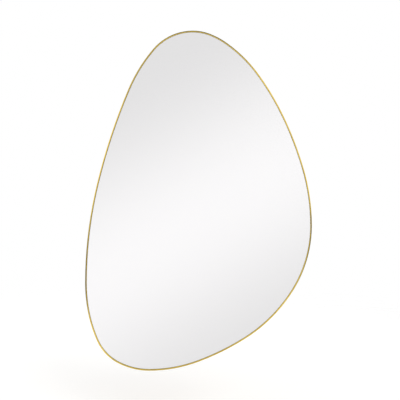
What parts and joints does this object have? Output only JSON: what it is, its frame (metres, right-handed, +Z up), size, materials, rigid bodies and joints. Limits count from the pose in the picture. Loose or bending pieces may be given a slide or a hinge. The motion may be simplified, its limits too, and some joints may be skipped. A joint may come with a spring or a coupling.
{
  "type": "wall mirror",
  "caption": "Asymmetrical pebble-shaped wall mirror in a thin brass-finished metal frame, hung by folding rings on its back.",
  "frame": {"origin": "on the wall plane, midway between the two points where the hanger rings bear on their wall hooks", "axes": "+Z up along the long way of the mirror, +Y into the wall, so the glass faces -Y; +X to the right of someone who looks into the glass"},
  "size_m": [0.6, 0.026, 0.9],
  "materials": {
    "frame_brass": "satin",
    "float_glass": "polished",
    "silver": "polished",
    "board_fibre": "matte",
    "tape_foam": "matte",
    "shim_plastic": "satin",
    "tab_steel": "satin",
    "screw_zinc": "satin",
    "strap_zinc": "satin",
    "ring_zinc": "satin",
    "bumper_rubber": "matte"
  },
  "bodies": {
    "mirror": {"backing_board": "board_fibre", "bond_tape_1": "tape_foam", "bond_tape_2": "tape_foam", "bond_tape_3": "tape_foam", "bond_tape_4": "tape_foam", "bond_tape_5": "tape_foam", "frame": "frame_brass", "glass_shim_1": "shim_plastic", "glass_shim_2": "shim_plastic", "glass_shim_3": "shim_plastic", "glass_shim_4": "shim_plastic", "glass_shim_5": "shim_plastic", "glass_shim_6": "shim_plastic", "hanger_screws": "screw_zinc", "hanger_strap_left": "strap_zinc", "hanger_strap_right": "strap_zinc", "mirror_glass": "float_glass", "retaining_tab_1": "tab_steel", "retaining_tab_2": "tab_steel", "retaining_tab_3": "tab_steel", "retaining_tab_4": "tab_steel", "retaining_tab_5": "tab_steel", "retaining_tab_6": "tab_steel", "retaining_tab_7": "tab_steel", "retaining_tab_8": "tab_steel", "silver_coating": "silver", "tab_screws": "screw_zinc", "wall_bumper_1": "bumper_rubber", "wall_bumper_2": "bumper_rubber", "wall_bumper_3": "bumper_rubber", "wall_bumper_4": "bumper_rubber"},
    "left_ring": {"hanger_ring_left": "ring_zinc"},
    "right_ring": {"hanger_ring_right": "ring_zinc"}
  },
  "joints": [
    {"name": "left_ring_swing", "type": "hinge", "parent": "mirror", "child": "left_ring", "pos_m": [-0.13, -0.00755, -0.01337], "axis": [-1, 0, 0], "range_deg": [0, 177.5]},
    {"name": "right_ring_swing", "type": "hinge", "parent": "mirror", "child": "right_ring", "pos_m": [0.13, -0.00755, -0.01337], "axis": [-1, 0, 0], "range_deg": [0, 177.5]}
  ]
}
